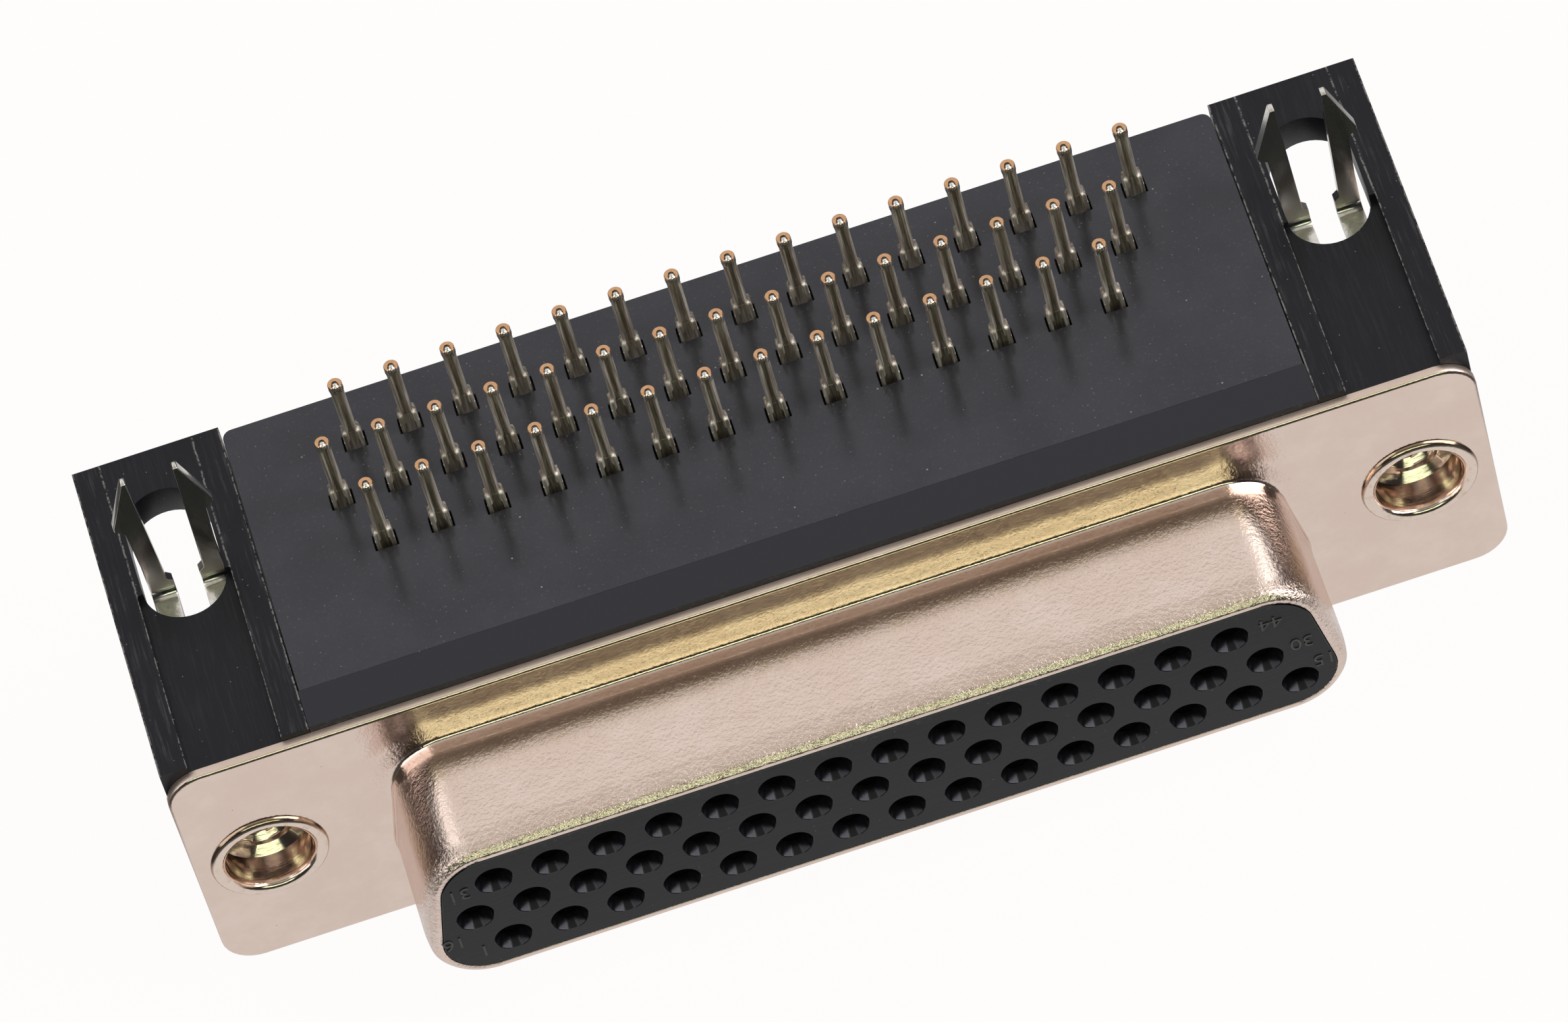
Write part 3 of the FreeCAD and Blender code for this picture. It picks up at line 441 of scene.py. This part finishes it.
insulator_black.paint(
    Base_Color=tone,
    Roughness=on_face * (striation * 0.3 + 0.1) + painted_throat_shade * 0.6 + 0.16,
    Normal=insulator_black.bump(striation * on_face * 0.7 + fine * 0.3, 0.006))
piece("mating_nose", mesh, insulator_black, smooth=20)
piece("insulator_plate", mould_copy("front_insulator", MOULD_EDGE, NOSE_BACK), insulator_black,
      ["front_insulator"])

# Contacts. Each is stamped from copper-alloy strip, bent down through a right angle and tinned. The
# base is a channel with two shoulders. Above it the strip is rolled into a slotted tail, whose end
# shows the bare copper alloy of the cut in a horseshoe round a bead of tin.

TAIL_ROWS = {1: 12.95, 16: 10.41, 31: 7.87}
BASE_END, TAIL_TIP, TAIL_RADIUS, TAIL_WALL = 7.0, 10.46, 0.28, 0.15
BASE_HALF_WIDTH, BASE_HALF_DEPTH, SLOT_HALF_ANGLE = 0.39, 0.3, radians(36)
TAIL_LEVELS = (  # height, swell of the roll, share of the square base
    (BASE_END, 1.0, 1.0), (7.4, 1.0, 0.96), (7.48, 1.0, 0.8), (7.52, 1.0, 0.4), (7.56, 1.0, 0.15),
    (7.66, 0.97, 0.0), (TAIL_TIP - 0.5, 0.97, 0.0), (TAIL_TIP - 0.3, 1.08, 0.0),
    (TAIL_TIP - 0.1, 1.08, 0.0), (TAIL_TIP - 0.03, 1.05, 0.0), (TAIL_TIP, 0.97, 0.0))
BEAD_RADIUS, BEAD_SHAPE, BEAD_FORWARD, BEAD_DROP = 0.19, (0.95, 1.1, 0.9), 0.1, 0.08


def tail_ring(x, y, z, swell, square, steps=20):
    """Outline of the open tail at a height. Square is 1 in the channel base and 0 in the roll."""
    outer, inner = [], []
    for i in range(steps + 1):
        angle = -pi / 2 + SLOT_HALF_ANGLE + (2 * pi - 2 * SLOT_HALF_ANGLE) * i / steps
        across, along = abs(cos(angle)), abs(sin(angle))
        box = min(BASE_HALF_WIDTH / max(across, 0.01), BASE_HALF_DEPTH / max(along, 0.01))
        reach = box * square + TAIL_RADIUS * swell * (1 - square)
        outer.append((x + reach * cos(angle), y + reach * sin(angle), z))
        inner.append((x + (reach - TAIL_WALL) * cos(angle), y + (reach - TAIL_WALL) * sin(angle), z))
    return outer + inner[::-1]


def rolled_tail(mesh, x, y):
    """Channel base that rounds its shoulders into a slotted tube with a swollen, rounded head."""
    rings = [add_ring(mesh, tail_ring(x, y, *level)) for level in TAIL_LEVELS]
    skin(mesh, rings)
    for ring in (rings[0], rings[-1]):
        half = len(ring) // 2
        for i in range(half - 1):
            mesh.faces.new((ring[i], ring[i + 1], ring[-2 - i], ring[-1 - i]))
    bead = bmesh.ops.create_uvsphere(mesh, u_segments=14, v_segments=10, radius=BEAD_RADIUS)
    bmesh.ops.scale(mesh, verts=bead["verts"], vec=BEAD_SHAPE)
    bmesh.ops.translate(mesh, verts=bead["verts"], vec=(x, y - BEAD_FORWARD, TAIL_TIP - BEAD_DROP))


def lower_contact(mesh, node):
    """Socket, strip and channel base of a contact as they are in the solid, up to the shoulders."""
    strip = mould_copy(node, 0.0)
    geometry = strip.verts[:] + strip.edges[:] + strip.faces[:]
    made = bmesh.ops.bisect_plane(strip, geom=geometry, dist=0.001, plane_co=(0, 0, BASE_END),
                                  plane_no=(0, 0, 1), clear_outer=True)
    rim = [item for item in made["geom_cut"] if isinstance(item, bmesh.types.BMEdge)]
    bmesh.ops.triangle_fill(strip, edges=rim, use_beauty=True)
    data = bpy.data.meshes.new("strip")
    strip.to_mesh(data)
    strip.free()
    mesh.from_mesh(data)
    bpy.data.meshes.remove(data)


tin = Finish("contact_tin", Metallic=1.0)
cut_end = tin.z.between(TAIL_TIP - 0.04, TAIL_TIP - 0.015) * tin.z.between(TAIL_TIP + 0.012, TAIL_TIP + 0.004)
streak = tin.noise(9, 3.0, 0.6, stretch=(1, 1, 0.05)).between(0.35, 0.7)
head = tin.z.between(TAIL_TIP - 0.5, TAIL_TIP - 0.3)
copper = tin.blend(tin.noise(9, 2.0), (0.62, 0.32, 0.16), (0.80, 0.50, 0.29))
plate = tin.blend(streak, (0.55, 0.47, 0.39), (1.0, 0.94, 0.87))
plate = tin.blend(head, plate, (0.84, 0.80, 0.74))
tin.paint(Base_Color=tin.blend(cut_end, plate, copper),
          Roughness=0.5 - head * 0.3 + streak * 0.14,
          Normal=tin.bump(tin.noise(6, 2.0, 0.5), 0.004))
for number, (count, first, level) in ROWS.items():
    for i in range(count):
        node = f"contact_{number + i:02d}"
        mesh = bmesh.new()
        lower_contact(mesh, node)
        rolled_tail(mesh, (first + i) * PITCH, TAIL_ROWS[number])
        piece(f"tinned_{node}", mesh, tin, [node], smooth=40)

# Tail housing. Black moulding pushed on over the bent contacts, open on its far side, with a
# rectangular hole round the base of each tail. Its face is flat and half glossy, dusty and scuffed.

housing_black = Finish("housing_black", Specular_IOR_Level=0.58, Specular_Tint=(0.9, 0.91, 1.0))
flow = housing_black.noise(5, 3.0, 0.6, stretch=(1, 0.12, 1))
fine = housing_black.noise(13, 3.0, 0.6)
cloud = housing_black.noise(0.35, 4.0, 0.65, shift=3.0)
dust = (housing_black.specks(3.0, 0.09, 0.7) * 0.5 + housing_black.specks(1.1, 0.05, 0.5, shift=4.0)
        + housing_black.noise(7, 4.0, 0.8, shift=9.0).between(0.56, 0.78) * 0.22)
tone = housing_black.blend(cloud.between(0.3, 0.7), (0.020, 0.020, 0.025), (0.030, 0.030, 0.037))
tone = housing_black.blend(dust, tone, (0.30, 0.28, 0.27))
housing_black.paint(
    Base_Color=tone,
    Roughness=0.13 + cloud * 0.12 + dust * 0.3,
    Normal=housing_black.bump(flow * 0.5 + fine * 0.5, 0.004))
piece("tail_housing_moulding", mould_copy("tail_housing", MOULD_EDGE), housing_black,
      ["tail_housing"])

# Brackets. Two mirrored black mouldings that hold the shell to the board, each with a channel and a
# round-ended hole for the board lock. Pale flash runs along their edges, and the rails are scuffed.

RAIL_EDGES = (20.44, 21.54, 25.33, 26.43)
BOARD_FACE = 6.6

bracket_black = Finish("bracket_black", Specular_IOR_Level=0.33, Specular_Tint=(0.9, 0.91, 1.0))
drag = bracket_black.noise(9, 4.0, 0.65, stretch=(1, 0.05, 1))
fine = bracket_black.noise(12, 4.0, 0.65)
cloud = bracket_black.noise(0.8, 4.0, 0.6, shift=8.0)
ragged = bracket_black.noise(2.2, 4.0, 0.7, shift=5.0)
dust = bracket_black.specks(2.4, 0.07, 0.5)
on_top = bracket_black.z.between(BOARD_FACE - 0.12, BOARD_FACE - 0.06)
on_rail = on_top * (bracket_black.x.size().between(21.6, 21.5) + bracket_black.x.size().between(25.3, 25.4))
flash = 0
for place in RAIL_EDGES:
    off = (bracket_black.x.size() - place + ragged * 0.12 - 0.06).size()
    flash = off.between(0.055, 0.015) + flash
flash = flash * on_top * bracket_black.noise(3.2, 4.0, 0.75, shift=2.0).between(0.42, 0.56)
scuff = on_rail * drag.between(0.5, 0.75) * bracket_black.noise(0.6, 3.0, 0.6).between(0.42, 0.6)
tone = bracket_black.blend(drag.between(0.45, 0.8), (0.0055, 0.0055, 0.0075), (0.016, 0.016, 0.019))
tone = bracket_black.blend(scuff * 0.35, tone, (0.10, 0.10, 0.11))
tone = bracket_black.blend(dust * 0.7 + flash * 0.75, tone, (0.27, 0.25, 0.24))
bracket_black.paint(
    Base_Color=tone,
    Roughness=0.26 + cloud * 0.2,
    Normal=bracket_black.bump(drag * 0.6 + fine * 0.4, 0.008))
for side in ("left", "right"):
    piece(f"bracket_{side}_moulding", mould_copy(f"bracket_{side}", MOULD_EDGE), bracket_black,
          [f"bracket_{side}"])

# Threaded inserts. Turned brass, nickel-plated, clinched through flange, bracket and board lock with
# a rolled rim. A plain bore leads over a cone to the 4-40 thread, which runs on inside the hexagon.

RIM_RADIUS, RIM_DEPTH, PLAIN_BORE, PLAIN_END, CONE = 2.375, 0.196, 1.75, 1.27, 0.5
THREAD_MINOR, THREAD_MAJOR, THREAD_PITCH, NUT_END, NUT_START = 1.13, 1.4, 0.635, 6.57, 2.07
NUT_HALF, NUT_CORNER, NUT_CHAMFER, NUT_CHAMFER_DEPTH = 2.375, 1.11, 0.22, 0.18
CONE_END, CREST_SLOPE, CREST_FLAT = 0.33, 2.6, 0.15
MOUTH_FLARE = ((0.0, 0.12), (0.06, -0.04))
RIM_INNER = PLAIN_BORE + 0.1
TURN_STEPS = 48


def insert_mesh(x):
    mesh = bmesh.new()
    front = [(PLAIN_BORE, PLAIN_END)]
    front += [(PLAIN_BORE + flare, y) for flare, y in MOUTH_FLARE]
    middle, half = (RIM_RADIUS + RIM_INNER) / 2, (RIM_RADIUS - RIM_INNER) / 2
    for i in range(7):
        angle = radians(180 * i / 6)
        front.append((middle - half * cos(angle), -RIM_DEPTH * sin(angle)))
    front += [(TUBE_RADIUS, 0.0), (TUBE_RADIUS, NUT_START)]
    rings = [add_ring(mesh, circle_ring(x, radius, y, TURN_STEPS)) for radius, y in front]
    skin(mesh, rings)
    thread_start = PLAIN_END + CONE
    rows = int((NUT_END - thread_start) / THREAD_PITCH * 10)
    bore = [rings[0]]
    bore.append(add_ring(mesh, circle_ring(x, THREAD_MAJOR, PLAIN_END + CONE_END, TURN_STEPS)))
    for row in range(rows + 1):
        y = thread_start + (NUT_END - thread_start) * row / rows
        points = []
        for i in range(TURN_STEPS):
            phase = ((y / THREAD_PITCH) - i / TURN_STEPS) % 1.0
            crest = min(1.0, max(0.0, abs(phase - 0.5) * CREST_SLOPE - CREST_FLAT))
            radius = THREAD_MINOR + (THREAD_MAJOR - THREAD_MINOR) * crest
            angle = 2 * pi * i / TURN_STEPS
            points.append((x + radius * cos(angle), y, radius * sin(angle)))
        bore.append(add_ring(mesh, points))
    skin(mesh, bore)
    nut = []
    for y, cut in ((NUT_START, 0.0), (NUT_END - NUT_CHAMFER_DEPTH, 0.0), (NUT_END, NUT_CHAMFER)):
        points = []
        for i in range(TURN_STEPS):
            angle = 2 * pi * i / TURN_STEPS
            sector = (angle + pi / 6) % (pi / 3) - pi / 6
            reach = min(NUT_HALF / cos(sector), NUT_HALF * NUT_CORNER - cut)
            points.append((x + reach * cos(angle + pi / 2), y, reach * sin(angle + pi / 2)))
        nut.append(add_ring(mesh, points))
    skin(mesh, nut)
    flat_fill(mesh, [nut[0], rings[-1]])
    flat_fill(mesh, [nut[-1], bore[-1]])
    return mesh


insert_nickel = Finish("insert_nickel", Metallic=1.0)
turned = insert_nickel.noise(4, 3.0, 0.6, stretch=(0.3, 3, 0.3))
tarnish = insert_nickel.noise(2.2, 4.0, 0.65, shift=6.0)
off_axis = insert_nickel.x.size() - SCREW_X
squared = off_axis * off_axis + insert_nickel.z * insert_nickel.z
distance = squared.maths("SQRT", squared)
# Painted shade: a dark brown ring on the rim's outer edge stands in for the shade in the gap where the rim
# meets the flange.
painted_rim_shade = distance.between(RIM_RADIUS - 0.1, RIM_RADIUS - 0.04) * insert_nickel.y.between(0.3, 0.1)
tone = insert_nickel.blend(tarnish.between(0.5, 0.8), (0.84, 0.70, 0.61), (0.66, 0.50, 0.36))
tone = insert_nickel.blend(painted_rim_shade * 0.8, tone, (0.34, 0.22, 0.13))
insert_nickel.paint(Base_Color=tone, Roughness=0.09 + tarnish * 0.1,
                    Normal=insert_nickel.bump(turned, 0.006))
for side, x in (("left", -SCREW_X), ("right", SCREW_X)):
    piece(f"threaded_insert_{side}", insert_mesh(x), insert_nickel,
          [f"insert_{side}"], smooth=35)

# Board locks. Stamped spring brass, bright tinned: an eye behind the bracket, a strip bent up
# through the slot, and two barbed prongs that snap into the printed board.

STAMPED_EDGE = 0.05

lock_tin = Finish("lock_tin", Metallic=1.0)
smear = lock_tin.noise(2.5, 4.0, 0.6, stretch=(1, 1, 0.3))
tone = lock_tin.blend(smear.between(0.4, 0.75), (0.80, 0.77, 0.73), (0.62, 0.57, 0.51))
lock_tin.paint(Base_Color=tone, Roughness=0.12 + smear * 0.16,
               Normal=lock_tin.bump(lock_tin.noise(2.2, 4.0, 0.55, stretch=(1, 1, 0.4)), 0.012))
for side in ("left", "right"):
    piece(f"board_lock_{side}_strip", mould_copy(f"board_lock_{side}", STAMPED_EDGE), lock_tin,
          [f"board_lock_{side}"], smooth=30)

# Studio, in metres. A white floor under the part, soft lights behind it, overhead and at its rear
# corners, a dim fill and a greenish card in front, a card at each side, and the camera at the
# photograph's angle. Metal sees the floor bright near the part and dark farther off.

REST_HEIGHT = -0.006295
CAMERA_PLACE = (-0.006763, -0.264202, 0.365003)
CAMERA_TURN = (35.5215, 10.0503, -15.0939)
FOCAL_RATIO = 7.3885
LIGHT_DISTANCE = 0.9
NEAR_GLOW, FAR_GLOW = 0.72, 0.04


def soft_light(name, azimuth, elevation, width, height, radiance, colour=(1, 1, 1)):
    """Rectangular soft light aimed at the part. Azimuth 0 stands behind the part, 90 to its right."""
    lamp = bpy.data.lights.new(name, "AREA")
    lamp.shape = "RECTANGLE"
    lamp.size = width
    lamp.size_y = height
    lamp.energy = radiance * pi * width * height
    lamp.color = colour
    item = bpy.data.objects.new(name, lamp)
    turn, rise = radians(azimuth), radians(elevation)
    away = Vector((sin(turn) * cos(rise), cos(turn) * cos(rise), sin(rise)))
    item.location = away * LIGHT_DISTANCE
    item.rotation_euler = away.to_track_quat("Z", "Y").to_euler()
    bpy.context.scene.collection.objects.link(item)


soft_light("back_light", 0, 46, 1.3, 0.44, 0.84, (1.0, 0.99, 0.985))
soft_light("zenith_light", 0, 87.5, 1.3, 0.94, 0.5, (1.0, 0.98, 0.88))
soft_light("front_fill", 180, 55, 1.3, 0.3, 0.1, (1.0, 1.0, 0.85))
soft_light("front_card", 180, 36, 0.9, 0.28, 1.75, (0.86, 1.0, 0.68))
soft_light("left_back_light", -50, 42, 0.3, 0.5, 0.5)
soft_light("right_back_light", 50, 42, 0.25, 0.5, 1.1)
soft_light("left_card", -103, 34, 0.5, 0.95, 1.5)
soft_light("right_card", 103, 34, 0.5, 0.95, 3.8)

mesh = bmesh.new()
bmesh.ops.create_grid(mesh, x_segments=1, y_segments=1, size=3.0)
floor_data = bpy.data.meshes.new("floor")
mesh.to_mesh(floor_data)
mesh.free()
floor = bpy.data.objects.new("floor", floor_data)
floor.location = (0, 0, REST_HEIGHT)
bpy.context.scene.collection.objects.link(floor)
white = Finish("floor_white", Base_Color=(0.86, 0.85, 0.84), Roughness=0.9)
path = white.node("ShaderNodeLightPath", {}).outputs
seen = Value(white, path["Is Camera Ray"])
mirrored = Value(white, path["Is Glossy Ray"])
near = white.x.size().between(39, 31) * white.y.between(-20, -13) * white.y.between(46, 34)
mirror_glow = near * NEAR_GLOW
glow = white.node("ShaderNodeEmission", {
    "Color": (1.0, 0.99, 0.985), "Strength": seen * (1 - FAR_GLOW - mirror_glow) + mirror_glow + FAR_GLOW})
cover = white.node("ShaderNodeMixShader", {
    0: seen * 0.97 + mirrored * 0.95, 1: white.shader.outputs[0], 2: glow.outputs[0]})
white.tree.links.new(cover.outputs[0], white.output.inputs["Surface"])
floor.data.materials.append(white.material)

world = bpy.data.worlds.new("studio")
bpy.context.scene.world = world
world.use_nodes = True
room = Shading(world.node_tree)
dim = room.node("ShaderNodeBackground", {"Color": (0.025, 0.023, 0.022)})
bright = room.node("ShaderNodeBackground", {"Color": (1.0, 1.0, 1.0)})
choice = room.node("ShaderNodeMixShader", {
    0: room.node("ShaderNodeLightPath", {}).outputs["Is Camera Ray"],
    1: dim.outputs[0], 2: bright.outputs[0]})
room.node("ShaderNodeOutputWorld", {"Surface": choice.outputs[0]})

lens = bpy.data.cameras.new("camera")
lens.sensor_width = 36.0
lens.lens = FOCAL_RATIO * lens.sensor_width
lens.clip_start = 0.01
camera = bpy.data.objects.new("camera", lens)
camera.location = CAMERA_PLACE
camera.rotation_euler = [radians(angle) for angle in CAMERA_TURN]
bpy.context.scene.collection.objects.link(camera)
bpy.context.scene.camera = camera
bpy.context.scene.view_settings.view_transform = "Standard"
